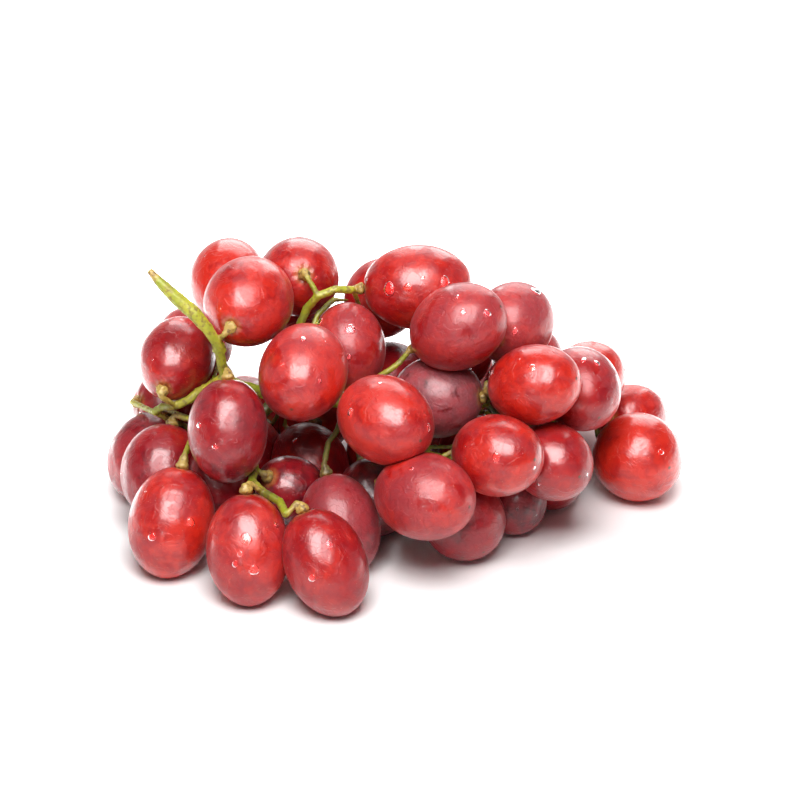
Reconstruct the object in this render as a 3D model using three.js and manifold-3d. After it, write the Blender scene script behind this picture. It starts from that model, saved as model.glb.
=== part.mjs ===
// A bunch of red table grapes lying on a flat surface, cut stem end up at the left, tip at the right.
// Millimetres, +Z up. +X runs along the bunch from the stem end to the tip, -Y is its front.

import * as THREE from "three";
import { mergeVertices } from "three/addons/utils/BufferGeometryUtils.js";
import Module from "manifold-3d";

const wasm = await Module();
wasm.setup();

// How closely things sit, in millimetres
const PIECE_GAP = 0.35;
const PRESSED_IN = 1.3;
const PRESSED_IN_MOST = 2.6;
const RESTING_DIP = 0.4;
const RESTS_WITHIN = 2.5;
const STEM_CLEARANCE = 0.4;
const LOWEST_STEM = 2.0;

// Fineness of the faceted shapes
const GRAPE_SIDES = 12;
const GRAPE_RINGS = 8;
const HIDDEN_GRAPE_SIDES = 10;
const HIDDEN_GRAPE_RINGS = 7;
const STALK_SIDES = 5;
const HIDDEN_STALK_SIDES = 3;
const AXIS_SIDES = 7;
const BRANCH_SIDES = 5;
const BRANCH_STEPS = 8;
const STALK_STEPS = 5;
const HIDDEN_STALK_STEPS = 4;
const AXIS_STEPS = 28;
const AXIS_SAMPLES = 60;
const STALK_PLACES = 12;
const WELD_DISTANCE = 1e-5;

// The block that cuts the lowest grapes flat where they rest
const FLOOR_SPAN = 400;
const FLOOR_DEPTH = 20;

// Stem radii in millimetres
const AXIS_RADIUS = 1.7;
const BRANCH_RADIUS = 1.25;
const BRANCH_TIP_RADIUS = 1.0;
const STALK_RADIUS = 0.7;
const BUTTON_RADIUS = 1.65;
const BUTTON_LENGTH = 2.2;
const FLARE_LENGTH = 2.2;
const BRANCH_COLLAR = 0.5;

// The main axis from its thin dry cut end: shares of its length, and its radius there in millimetres
const AXIS_PROFILE = [
  [0, 0.9], [0.035, 1.35], [0.07, 1.75], [0.11, 1.75],
  [0.16, 1.2], [0.2, 1.2], [0.3, 1.6], [1, 1],
];

// Shares of a branch's length: its collar, and its first part that bears no stalks
const COLLAR_SHARE = 0.2;
const BARE_SHARE = 1 / 3;

// How the bunch settles
const SETTLE_ROUNDS = 1500;
const HOME_PULL = 0.03;
const HIDDEN_GIVE = 6;
const HOME_ROUNDS = 900;
const ROUTE_ROUNDS = 160;
const ROUTE_STEPS = 9;
const ROUTE_PULL = 0.6;
const CLEAR_ROUNDS = 30;
const GOLDEN_ANGLE = 2.39996;

const GRAPE_RED = 0x9c2a33;
const GRAPE_ROUGHNESS = 0.35;
const STEM_GREEN = 0x9aa544;
const STEM_ROUGHNESS = 0.7;

// Each grape: its middle, the heading and rise in degrees of its free end, its width and length,
// and the branch that it grows from where that isn't its own group's
const GRAPES = {
  grapes_left_shoulder: [
    { at: [-47.5, 41, 51], aim: [86, 12], size: [20.5, 25.5] },
    { at: [-37, 16.5, 55.5], aim: [73, 4], size: [22.5, 26] },
    { at: [-24, 34, 55.5], aim: [100, -28], size: [21, 24.5], branch: "crown" },
    { at: [-28, 54, 40], aim: [85, -20], size: [20.5, 24], hidden: true },
  ],
  grapes_left_side: [
    { at: [-58, 18, 41.5], aim: [76, 14], size: [19.5, 24.5] },
    { at: [-54, 28, 19], aim: [102, 40], size: [19, 21.5] },
    { at: [-62, 37, 14], aim: [33, -24], size: [19, 21] },
    { at: [-55, 49, 30], aim: [120, -10], size: [20, 24], hidden: true },
  ],
  grapes_front_left: [
    { at: [-61, 20.5, 12], aim: [-123, -45], size: [20.5, 24.5] },
    { at: [-59, 2, 15], aim: [-104, -46], size: [21, 25] },
    { at: [-56.5, -15.5, 14], aim: [-110, -58], size: [21.5, 28] },
    { at: [-42, -9, 33.5], aim: [-90, -60], size: [20, 26] },
    { at: [-46, -4, 12.5], aim: [-90, -50], size: [17, 20], hidden: true },
  ],
  grapes_front: [
    { at: [-37.5, -31, 13], aim: [-86, -60], size: [20.5, 28] },
    { at: [-18, -39, 13], aim: [-48, -54], size: [20, 27.5] },
    { at: [-14, -15, 12], aim: [-66, -50], size: [20, 26], branch: "inner" },
    { at: [-30.5, -3, 14], aim: [43, -43], size: [18, 20.5] },
    { at: [-5, 3, 10], aim: [-70, -29], size: [19.5, 21], hidden: true, branch: "inner" },
  ],
  grapes_centre: [
    { at: [-26, 1, 45], aim: [-101, -16], size: [22.5, 27] },
    { at: [-10, 21.5, 44], aim: [-80, -57], size: [19, 23.5] },
    { at: [-22, 37, 31], aim: [100, -15], size: [20, 23], hidden: true, branch: "back_left" },
  ],
  grapes_crown: [
    { at: [1, 30, 53.5], aim: [0, 2], size: [22, 28.5] },
    { at: [15, 7, 53], aim: [-19, 34], size: [21.5, 26.5], branch: "saddle" },
    { at: [30, 25, 46], aim: [64, -3], size: [21, 23.5], branch: "saddle" },
    { at: [9.5, 10, 33], aim: [-18, 9], size: [21, 24], branch: "centre" },
    { at: [-5, 45, 44], aim: [67, 16], size: [20, 23.5], hidden: true },
  ],
  grapes_middle: [
    { at: [-4, -11, 38], aim: [-52, 1], size: [22, 27.5], branch: "centre" },
    { at: [6, -23, 23], aim: [-36, 7], size: [21.5, 27] },
    { at: [24, -15, 30], aim: [-43, 16], size: [20.5, 25] },
    { at: [39, -6, 24.5], aim: [-56, 5], size: [20, 22.5], branch: "right" },
    { at: [16, -12, 10], aim: [-61, -25], size: [21, 22] },
    { at: [27.5, 1, 9], aim: [-53, -20], size: [18, 19.5] },
    { at: [36, 14, 9], aim: [-47, -15], size: [17.5, 19], hidden: true },
  ],
  grapes_right: [
    { at: [30, -4, 44], aim: [-29, 22], size: [20, 25] },
    { at: [49, 13, 33], aim: [-69, -12], size: [20.5, 23.5] },
    { at: [50, 32, 28], aim: [56, -5], size: [18.5, 21] },
    { at: [32, 26, 27], aim: [30, -10], size: [18.5, 20], hidden: true },
  ],
  grapes_tip: [
    { at: [62, 38, 12], aim: [47, -21], size: [18.5, 21] },
    { at: [59, 20, 12], aim: [-52, 10], size: [23, 24.5] },
    { at: [48, 51, 13], aim: [80, -15], size: [19, 22], hidden: true },
  ],
  grapes_back_left: [
    { at: [-41, 24, 11], aim: [-90, -10], size: [19, 21.5], hidden: true },
    { at: [-44, 44, 11], aim: [120, -10], size: [20.5, 24], hidden: true },
    { at: [-27, 20, 11], aim: [-60, -20], size: [20, 23], hidden: true },
    { at: [-24, 42, 12], aim: [95, -20], size: [20.5, 25], hidden: true },
  ],
  grapes_back_middle: [
    { at: [-7, 20, 11], aim: [-90, -20], size: [20, 22], hidden: true },
    { at: [-4, 50, 11], aim: [95, -25], size: [20.5, 24], hidden: true },
    { at: [-3, 39, 27], aim: [100, -10], size: [20, 23], hidden: true },
    { at: [16, 43, 32], aim: [80, 5], size: [20.5, 25], hidden: true },
    { at: [17, 40, 11], aim: [85, -25], size: [20, 24], hidden: true },
  ],
  grapes_back_right: [
    { at: [13, 15, 11], aim: [-60, -20], size: [20, 22], hidden: true },
    { at: [36, 34, 11], aim: [60, -20], size: [19.5, 23], hidden: true },
    { at: [28, 56, 11], aim: [95, -20], size: [20, 24], hidden: true },
    { at: [34, 46, 24], aim: [75, 0], size: [19, 22], hidden: true },
  ],
};

// The main axis from the cut end to the tip
const AXIS = [
  [-62, 9, 69],
  [-57, 7, 64],
  [-50, 5, 58],
  [-45, 5.5, 49],
  [-44, 7, 40],
  [-31, 11, 33],
  [-14, 10, 31],
  [0, 10, 22],
  [13, 19, 21],
  [28, 14, 21],
  [42, 22, 20],
  [52, 25, 18],
];

// Side branches: where each leaves the main axis, the points that it passes, and its girth where that isn't 1
const BRANCHES = {
  shoulder: {
    leaves: 3,
    through: [[-47, 16, 46], [-49, 28, 41], [-42, 38, 37]],
    feeds: ["grapes_left_shoulder"],
  },
  left: {
    leaves: 4,
    through: [[-50, 9.5, 35.5], [-57.5, 11, 32], [-63, 13, 27]],
    feeds: ["grapes_left_side"],
  },
  front_left: { leaves: 4, through: [[-47.5, 4.5, 33], [-51, 4, 29]], feeds: ["grapes_front_left"] },
  front: {
    leaves: 5,
    through: [[-36, 4, 29], [-37, -12.5, 23.5], [-36, -18, 23], [-30, -24.5, 22.5], [-27.5, -31, 22.5]],
    feeds: ["grapes_front"],
  },
  inner: { leaves: 6, through: [[-16, 3, 27], [-18, -1, 26]], girth: 0.65, feeds: [] },
  centre: { leaves: 5, through: [[-24, 13, 34], [-21, 11, 40]], feeds: ["grapes_centre"] },
  crown: {
    leaves: 5,
    through: [[-26, 16, 42], [-25, 21, 50], [-19, 20, 58], [-12, 23, 57]],
    feeds: ["grapes_crown"],
  },
  saddle: { leaves: 6, through: [[-7, 9, 38], [0, 10, 43], [3, 15, 45]], girth: 0.65, feeds: [] },
  middle: { leaves: 7, through: [[4, -2, 22], [8, -8, 24]], feeds: ["grapes_middle"] },
  right: { leaves: 8, through: [[20, 13, 30], [22, 8, 38]], feeds: ["grapes_right"] },
  back_left: { leaves: 5, through: [[-30, 18, 24], [-30, 29, 22]], feeds: ["grapes_back_left"] },
  back_middle: { leaves: 7, through: [[0, 22, 22], [4, 31, 21]], feeds: ["grapes_back_middle"] },
  back_right: { leaves: 9, through: [[26, 24, 20], [26, 34, 21]], feeds: ["grapes_back_right"] },
  tip: { leaves: 10, through: [[48, 28, 17], [52, 32, 14]], feeds: ["grapes_tip"] },
};

function vector(values) {
  return new THREE.Vector3(values[0], values[1], values[2]);
}

function pointing(heading, rise) {
  const turn = THREE.MathUtils.degToRad(heading);
  const lift = THREE.MathUtils.degToRad(rise);
  return new THREE.Vector3(Math.cos(turn) * Math.cos(lift), Math.sin(turn) * Math.cos(lift), Math.sin(lift));
}

// How far a grape reaches in a direction, to the plane that touches it
function reach(grape, direction) {
  const along = direction.dot(grape.axis) ** 2;
  return Math.sqrt(grape.half ** 2 * along + grape.radius ** 2 * (1 - along));
}

// The distance from a grape's middle to its skin in a direction
function skinAt(grape, direction) {
  const along = direction.dot(grape.axis) ** 2;
  return 1 / Math.sqrt(along / grape.half ** 2 + (1 - along) / grape.radius ** 2);
}

function listGrapes() {
  const grapes = [];
  for (const [group, members] of Object.entries(GRAPES)) {
    for (const { at, aim, size, branch, hidden } of members) {
      const middle = vector(at);
      const grape = {
        group,
        middle,
        home: middle.clone(),
        axis: pointing(aim[0], aim[1]),
        radius: size[0] / 2,
        half: size[1] / 2,
        hidden: hidden === true,
        give: hidden ? HIDDEN_GIVE : 1,
        branch: branch ?? Object.keys(BRANCHES).find((name) => BRANCHES[name].feeds.includes(group)),
      };
      grape.lowest = reach(grape, new THREE.Vector3(0, 0, 1));
      grape.rests = middle.z - grape.lowest < RESTS_WITHIN;
      grapes.push(grape);
    }
  }
  return grapes;
}

// The shortest tree of neighbours in each group, along which its grapes are pressed into one body
function linkNeighbours(grapes) {
  const links = new Set();
  const joined = new Set();
  for (const first of grapes) {
    if (joined.has(first)) {
      continue;
    }
    joined.add(first);
    const members = grapes.filter((grape) => grape.group === first.group);
    while (members.some((grape) => !joined.has(grape))) {
      let best = null;
      for (const inside of members.filter((grape) => joined.has(grape))) {
        for (const outside of members.filter((grape) => !joined.has(grape))) {
          const apart = inside.home.distanceTo(outside.home);
          if (best === null || apart < best.apart) {
            best = { inside, outside, apart };
          }
        }
      }
      joined.add(best.outside);
      links.add(pairKey(grapes, best.inside, best.outside));
    }
  }
  return links;
}

function pairKey(grapes, one, other) {
  const places = [grapes.indexOf(one), grapes.indexOf(other)];
  return Math.min(...places) * grapes.length + Math.max(...places);
}

// Moves the grapes a little, so that each group is pressed together and clears the others and the main axis
function settle(grapes, axisPoints) {
  const links = linkNeighbours(grapes);
  const along = new THREE.Vector3();
  for (let round = 0; round < SETTLE_ROUNDS; round++) {
    for (let i = 0; i < grapes.length; i++) {
      for (let j = i + 1; j < grapes.length; j++) {
        const one = grapes[i];
        const other = grapes[j];
        along.subVectors(other.middle, one.middle);
        const apart = along.length();
        if (apart > one.half + other.half + PIECE_GAP) {
          if (!links.has(i * grapes.length + j)) {
            continue;
          }
        }
        along.divideScalar(apart);
        let shift = 0;
        if (one.group === other.group) {
          const touching = skinAt(one, along) + skinAt(other, along);
          const closest = touching - PRESSED_IN_MOST;
          const farthest = touching - PRESSED_IN;
          if (apart < closest) {
            shift = closest - apart;
          } else if (apart > farthest && links.has(i * grapes.length + j)) {
            shift = farthest - apart;
          }
        } else {
          shift = Math.max(0, reach(one, along) + reach(other, along) + PIECE_GAP - apart);
        }
        const share = one.give / (one.give + other.give);
        one.middle.addScaledVector(along, -shift * share);
        other.middle.addScaledVector(along, shift * (1 - share));
      }
    }
    for (const grape of grapes) {
      clearAxis(grape, axisPoints);
      if (grape.rests || grape.middle.z < grape.lowest - RESTING_DIP) {
        grape.middle.z = grape.lowest - RESTING_DIP;
      }
      if (round < HOME_ROUNDS) {
        grape.middle.lerp(grape.home, HOME_PULL / grape.give);
      }
    }
  }
}

function clearAxis(grape, axisPoints) {
  const away = new THREE.Vector3();
  for (const { point, radius } of axisPoints) {
    away.subVectors(grape.middle, point);
    const apart = away.length();
    away.divideScalar(apart);
    const needed = skinAt(grape, away) + radius + STEM_CLEARANCE;
    if (apart < needed) {
      grape.middle.addScaledVector(away, (needed - apart) / 2);
    }
  }
}

// Turns a three.js geometry into a solid that can be joined and cut
function solid(geometry) {
  geometry.deleteAttribute("normal");
  geometry.deleteAttribute("uv");
  const merged = mergeVertices(geometry, WELD_DISTANCE);
  return new wasm.Manifold(new wasm.Mesh({
    numProp: 3,
    vertProperties: new Float32Array(merged.attributes.position.array),
    triVerts: new Uint32Array(merged.index.array),
  }));
}

function grapeSolid(grape, index, swell = 0) {
  const sides = grape.hidden ? HIDDEN_GRAPE_SIDES : GRAPE_SIDES;
  const rings = grape.hidden ? HIDDEN_GRAPE_RINGS : GRAPE_RINGS;
  const geometry = new THREE.SphereGeometry(1, sides, rings);
  geometry.rotateY(index * GOLDEN_ANGLE);
  geometry.scale(grape.radius + swell, grape.half + swell, grape.radius + swell);
  const upright = new THREE.Vector3(0, 1, 0);
  geometry.applyQuaternion(new THREE.Quaternion().setFromUnitVectors(upright, grape.axis));
  geometry.translate(grape.middle.x, grape.middle.y, grape.middle.z);
  return solid(geometry);
}

// A closed round bar bent along points, with a radius for each fraction of its length
function bar(points, radiusAt, sides, steps) {
  const curve = new THREE.CatmullRomCurve3(points);
  const frames = curve.computeFrenetFrames(steps, false);
  const geometry = new THREE.CylinderGeometry(1, 1, 1, sides, steps);
  const positions = geometry.attributes.position;
  const place = new THREE.Vector3();
  for (let i = 0; i < positions.count; i++) {
    const step = Math.round((positions.getY(i) + 0.5) * steps);
    const radius = radiusAt(step / steps);
    curve.getPointAt(step / steps, place);
    place.addScaledVector(frames.normals[step], positions.getX(i) * radius);
    place.addScaledVector(frames.binormals[step], -positions.getZ(i) * radius);
    positions.setXYZ(i, place.x, place.y, place.z);
  }
  return solid(geometry);
}

// Pushes a point of a stem out of the grapes
function pushOut(point, grapes, clearance) {
  const away = new THREE.Vector3();
  for (const grape of grapes) {
    away.subVectors(point, grape.middle);
    const apart = away.length();
    away.divideScalar(apart);
    const needed = skinAt(grape, away) + clearance;
    if (apart < needed) {
      point.addScaledVector(away, needed - apart);
    }
  }
  point.z = Math.max(point.z, LOWEST_STEM);
}

// Pulls a route tight like an elastic band and pushes it out of the grapes
function route(start, lead, finish, grapes) {
  const points = [];
  for (let i = 0; i <= ROUTE_STEPS; i++) {
    points.push(new THREE.Vector3().lerpVectors(start, lead, i / ROUTE_STEPS));
  }
  const middle = new THREE.Vector3();
  for (let round = 0; round < ROUTE_ROUNDS; round++) {
    for (let i = 1; i < ROUTE_STEPS; i++) {
      middle.addVectors(points[i - 1], points[i + 1]).multiplyScalar(0.5);
      points[i].lerp(middle, ROUTE_PULL);
      pushOut(points[i], grapes, STALK_RADIUS + STEM_CLEARANCE);
    }
  }
  points.push(finish);
  return points;
}

// A side branch's points, finer than its knots and pushed clear of the grapes
function clearOf(knots, grapes) {
  const points = new THREE.CatmullRomCurve3(knots).getSpacedPoints(BRANCH_STEPS);
  for (let round = 0; round < CLEAR_ROUNDS; round++) {
    for (const point of points.slice(1)) {
      pushOut(point, grapes, BRANCH_RADIUS + STEM_CLEARANCE);
    }
  }
  return points;
}

// The stalk of one grape, from its branch to the button at the grape's stem end
function stalk(grape, grapes, starts) {
  const finish = grape.middle.clone().addScaledVector(grape.axis, -grape.half - STEM_CLEARANCE);
  const lead = finish.clone().addScaledVector(grape.axis, -BUTTON_LENGTH);
  let start = starts[0];
  for (const candidate of starts) {
    if (candidate.distanceTo(lead) < start.distanceTo(lead)) {
      start = candidate;
    }
  }
  const points = route(start, lead, finish, grapes);
  const length = new THREE.CatmullRomCurve3(points).getLength();
  const buttonFrom = 1 - FLARE_LENGTH / length;
  const radiusAt = (fraction) => {
    const rise = THREE.MathUtils.smoothstep(fraction, buttonFrom, 1);
    return STALK_RADIUS + (BUTTON_RADIUS - STALK_RADIUS) * rise;
  };
  const sides = grape.hidden ? HIDDEN_STALK_SIDES : STALK_SIDES;
  return bar(points, radiusAt, sides, grape.hidden ? HIDDEN_STALK_STEPS : STALK_STEPS);
}

function axisRadius(fraction) {
  const next = Math.max(1, AXIS_PROFILE.findIndex(([share]) => share >= fraction));
  const [fromShare, fromRadius] = AXIS_PROFILE[next - 1];
  const [toShare, toRadius] = AXIS_PROFILE[next];
  return THREE.MathUtils.mapLinear(fraction, fromShare, toShare, fromRadius, toRadius);
}

function branchRadius(name, fraction) {
  const girth = BRANCHES[name].girth ?? 1;
  const collar = 1 + BRANCH_COLLAR * (1 - THREE.MathUtils.smoothstep(fraction, 0, COLLAR_SHARE));
  return THREE.MathUtils.lerp(BRANCH_RADIUS, BRANCH_TIP_RADIUS, fraction) * collar * girth;
}

function branchPoints(name, axisKnots) {
  const { leaves, through } = BRANCHES[name];
  return [axisKnots[leaves], ...through.map(vector)];
}

function stemSolid(grapes) {
  const axisKnots = AXIS.map(vector);
  const pieces = [bar(axisKnots, axisRadius, AXIS_SIDES, AXIS_STEPS)];
  for (const name of Object.keys(BRANCHES)) {
    const knots = branchPoints(name, axisKnots);
    const radiusAt = (fraction) => branchRadius(name, fraction);
    pieces.push(bar(clearOf(knots, grapes), radiusAt, BRANCH_SIDES, BRANCH_STEPS));
  }
  for (const grape of grapes) {
    const knots = clearOf(branchPoints(grape.branch, axisKnots), grapes);
    const places = new THREE.CatmullRomCurve3(knots).getSpacedPoints(STALK_PLACES);
    const starts = places.slice(STALK_PLACES * BARE_SHARE);
    pieces.push(stalk(grape, grapes, starts));
  }
  let stem = pieces.reduce((whole, piece) => whole.add(piece));
  grapes.forEach((grape, index) => {
    stem = stem.subtract(grapeSolid(grape, index, STEM_CLEARANCE));
  });
  return largest(stem);
}

// The biggest body of a solid, without loose scraps, and with sealed hollows filled
function largest(shape) {
  const bodies = shape.decompose().filter((body) => body.volume() > 0);
  return bodies.reduce((best, body) => (body.volume() > best.volume() ? body : best));
}

function floorCutter() {
  const geometry = new THREE.BoxGeometry(FLOOR_SPAN, FLOOR_SPAN, FLOOR_DEPTH);
  geometry.translate(0, 0, -FLOOR_DEPTH / 2);
  return solid(geometry);
}

function groupSolid(group, grapes) {
  let body = null;
  grapes.forEach((grape, index) => {
    if (grape.group === group) {
      const next = grapeSolid(grape, index);
      body = body === null ? next : body.add(next);
    }
  });
  return largest(body.subtract(floorCutter()));
}

function toMesh(name, shape, colour, roughness) {
  const { vertProperties, triVerts, numProp } = shape.getMesh();
  const positions = new Float32Array((vertProperties.length / numProp) * 3);
  for (let i = 0; i < positions.length / 3; i++) {
    positions.set(vertProperties.subarray(i * numProp, i * numProp + 3), i * 3);
  }
  const geometry = new THREE.BufferGeometry();
  geometry.setAttribute("position", new THREE.BufferAttribute(positions, 3));
  geometry.setIndex(new THREE.BufferAttribute(triVerts, 1));
  geometry.computeVertexNormals();
  const material = new THREE.MeshStandardMaterial({
    color: colour, roughness, metalness: 0, flatShading: true,
  });
  const mesh = new THREE.Mesh(geometry, material);
  mesh.name = name;
  return mesh;
}

// Puts the origin under the middle of the bunch, on the surface that it lies on
function centreOnSurface(bunch) {
  const box = new THREE.Box3().setFromObject(bunch);
  const middle = box.getCenter(new THREE.Vector3());
  for (const piece of bunch.children) {
    piece.geometry.translate(-middle.x, -middle.y, -box.min.z);
  }
}

function samplesOfAxis() {
  const curve = new THREE.CatmullRomCurve3(AXIS.map(vector));
  return curve.getSpacedPoints(AXIS_SAMPLES).map((point) => ({ point, radius: AXIS_RADIUS }));
}

function buildBunch() {
  const grapes = listGrapes();
  settle(grapes, samplesOfAxis());
  const bunch = new THREE.Group();
  bunch.name = "bunch_of_grapes";
  for (const group of Object.keys(GRAPES)) {
    bunch.add(toMesh(group, groupSolid(group, grapes), GRAPE_RED, GRAPE_ROUGHNESS));
  }
  bunch.add(toMesh("stem", stemSolid(grapes), STEM_GREEN, STEM_ROUGHNESS));
  centreOnSurface(bunch);
  return bunch;
}

export default buildBunch();
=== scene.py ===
# The looks of a bunch of red table grapes: fine skins, stem, water beads, light and camera.

import math

import bmesh
import bpy
import numpy as np
from mathutils import Matrix, Vector, noise
from mathutils.bvhtree import BVHTree

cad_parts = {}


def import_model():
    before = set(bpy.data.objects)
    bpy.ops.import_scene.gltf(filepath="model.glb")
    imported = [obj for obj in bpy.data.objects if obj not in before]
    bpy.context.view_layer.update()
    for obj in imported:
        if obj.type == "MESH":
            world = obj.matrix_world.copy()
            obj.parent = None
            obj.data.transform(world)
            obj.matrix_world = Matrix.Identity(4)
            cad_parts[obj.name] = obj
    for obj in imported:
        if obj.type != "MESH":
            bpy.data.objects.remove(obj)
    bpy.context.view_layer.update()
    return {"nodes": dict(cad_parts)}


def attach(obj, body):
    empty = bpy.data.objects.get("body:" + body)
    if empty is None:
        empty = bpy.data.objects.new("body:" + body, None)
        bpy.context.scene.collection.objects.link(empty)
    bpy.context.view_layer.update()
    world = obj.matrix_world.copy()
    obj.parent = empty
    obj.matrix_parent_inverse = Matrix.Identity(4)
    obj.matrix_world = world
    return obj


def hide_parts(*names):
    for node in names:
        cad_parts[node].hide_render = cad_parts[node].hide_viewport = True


MM = 0.001
SEED = 11

# The photograph's view, in pixels, millimetres of sensor, degrees and metres
IMAGE_SIDE = 800
FOCAL_PIXELS = 2600
SENSOR = 36
CAMERA_HEADING = -90
CAMERA_RISE = 28
CAMERA_DISTANCE = 0.65
CAMERA_AIM = (0.00147, -0.01121, 0.0375)

# Lights, in metres, degrees and watts
SOFTBOX_SIZE = 0.36
SOFTBOX_DISTANCE = 0.62
SOFTBOX_HEADING = -93
SOFTBOX_RISE = 62
SOFTBOX_POWER = 5.6
GLEAM_SIZE = 0.56
GLEAM_HEADING = -97
GLEAM_RISE = 57
GLEAM_POWER = 12.0
LAMP_SIZE = 0.05
LAMP_DISTANCE = 0.6
LAMP_HEADING = -112
LAMP_RISE = 8
LAMP_POWER = 0.12
BACKLIGHT_SIZE = 1.0
BACKLIGHT_PLACE = (0.1, 1.0, 0.6)
BACKLIGHT_AIM = (0, 0.45, 0)
BACKLIGHT_POWER = 11.0

# World: bright near the horizon, more so behind the bunch than in front, and fading upwards
WORLD_BEHIND = 0.6
WORLD_IN_FRONT = 0.15
WORLD_ABOVE = 0.05
WORLD_TURN = (0.0, 0.5)
WORLD_FADE = (0.12, 0.45)

# Floor: white, and glowing in a band behind the bunch, in metres from the middle and away from the camera
FLOOR_SIDE = 6.0
FLOOR_COLOUR = (0.92, 0.92, 0.92, 1)
FLOOR_ROUGHNESS = 0.6
FLOOR_SPECULAR = 0.2
FLOOR_GLOW = 2.4
FLOOR_GLOW_ROUND = (0.07, 0.11)
FLOOR_GLOW_FROM = (-0.06, 0.02)
FLOOR_GLOW_TO = (0.2, 0.34)

# Reading the CAD model's grapes: corners closer than this many metres are one, faces that point down as
# much as this lie on the floor, and edges hollower than this are seams between two grapes
WELD = 1e-7
FLAT_FACE = -0.999
CONCAVE = 0.01
LEAST_CORNERS = 30
FIT_UNIT = 10 * MM

# Fine grapes, with lengths in millimetres
ROWS = 56
COLUMNS = 72
GRAPE_POINTS = (ROWS - 1) * COLUMNS + 2
CONTACT_SOFTNESS = 0.25
FLOOR_SOFTNESS = 0.15
LUMP_HEIGHT = 0.13
THREE_LOBES_SHARE = 0.6
WAIST_SHARE = 0.5
LUMP_SINK = 0.4
DIMPLE_DEPTH = 0.55
DIMPLE_WIDTH = 2.3
PUCKERS = 7
PUCKER_HEIGHT = 0.07
PUCKER_RING = 2.6
PUCKER_WIDTH = 1.1
SCAR_WIDTH = 0.5
SCAR_HEIGHT = 0.12
FAR_FROM_ENDS = 99
SPIN_FROM = (0.3, 0.2, 1.0)
LEAST_LEVEL = 1e-6
LEAST_LENGTH = 1e-9

# Grapes that the photograph doesn't show: their depth of red and bloom lie in these ranges
HIDDEN_DEPTHS = (0.15, 0.75)
HIDDEN_BLOOMS = (0.2, 0.8)

# How far a grape's skin patterns may be shifted, in millimetres
PATTERN_OFFSET = 500

# Millimetres farther from the camera that count as one pixel off when a grape is looked for
DEPTH_PER_PIXEL = 2

# Grapes by pixel of the photograph: how deep their red is, from orange-red 0 to maroon 1, and their bloom,
# which is -1 for the dry ones deep inside
SKINS = [
    (224, 281, 0.0, 0.0),
    (250, 303, 0.2, 0.4),
    (303, 275, 0.3, 0.3),
    (414, 290, 0.2, 0.3),
    (463, 326, 0.45, 0.8),
    (527, 316, 0.42, 1.0),
    (533, 386, 0.2, 0.3),
    (583, 390, 0.45, 0.5),
    (591, 374, 0.05, 0.1),
    (632, 420, 0.2, 0.3),
    (634, 454, 0.12, 0.0),
    (556, 459, 0.5, 0.2),
    (497, 456, 0.3, 0.3),
    (424, 498, 0.4, 0.7),
    (382, 420, 0.2, 0.4),
    (299, 372, 0.2, 0.7),
    (350, 345, 0.35, 0.8),
    (229, 432, 0.65, 0.4),
    (175, 357, 0.42, 0.3),
    (165, 408, 0.5, 0.4),
    (152, 461, 0.65, 0.4),
    (165, 475, 0.65, 0.4),
    (171, 523, 0.3, 0.3),
    (247, 549, 0.3, 0.5),
    (325, 564, 0.45, 0.3),
    (342, 522, 0.7, 0.8),
    (291, 491, 0.9, 0.2),
    (437, 398, 0.9, 1.7),
    (468, 518, 0.7, 0.5),
    (508, 497, 0.8, 0.6),
    (540, 476, 0.7, 0.4),
    (378, 500, 0.95, 0.4),
    (220, 476, 0.7, 0.2),
    (310, 464, 0.5, -1.0),
    (384, 452, 0.5, -1.0),
    (248, 453, 0.5, -1.0),
    (320, 356, 0.8, -0.5),
    (203, 390, 0.5, 0.2),
    (295, 294, 0.4, 0.3),
    (383, 298, 0.4, 0.4),
    (390, 379, 0.7, -1.0),
    (477, 455, 0.7, -1.0),
    (521, 388, 0.7, 0.2),
    (455, 352, 0.6, 0.2),
]

# Skin patterns: scale per millimetre, detail and distortion
PATCHES = (0.11, 2.0, 0.6)
MOTTLE = (0.55, 4.0, 0.4)
GRAIN = (1.6, 5.0)
BLOOM_EDGE = (0.13, 5.0, 0.7)
FILM = (0.28, 4.0, 1.2)

# Skin colours: the palest red, and each deeper one with the depths between which it takes over
PALEST_RED = (0.6, 0.022, 0.01, 1)
DEEPER_REDS = [
    (0.0, 0.45, (0.38, 0.007, 0.008, 1)),
    (0.35, 0.75, (0.27, 0.006, 0.012, 1)),
    (0.7, 1.1, (0.08, 0.003, 0.007, 1)),
]
PATCH_RANGE = (0.25, 0.75)
PATCH_SWING = 0.22
MOTTLE_RANGE = (0.3, 0.7)
MOTTLE_SWING = 0.1
BLOOM_COLOUR = (0.52, 0.15, 0.17, 1)
BLOOM_LEVEL = 0.56
BLOOM_SPREAD = 0.2
BLOOM_SOFT_EDGE = (-0.02, 0.05)
BLOOM_RANGE = (0.0, 2.0)
BLOOM_COVER = (0.04, 0.5)
BLOOM_GRAIN_RANGE = (0.2, 0.75)
BLOOM_GRAIN_SHARE = (0.6, 1.0)
SPOT_COLOUR = (0.75, 0.33, 0.2, 1)
SPOT_SCALE = 0.75
SPOT_RADII = (0.05, 0.11)
SPOT_SHARE = 0.3
RING_COLOUR = (0.5, 0.2, 0.06, 1)
RING_RADII = (1.6, 3.2)
RING_SHARE = 0.6
SCAR_COLOUR = (0.09, 0.035, 0.015, 1)
SCAR_RADII = (0.25, 0.6)
SCAR_SHARE = 0.9

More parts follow.
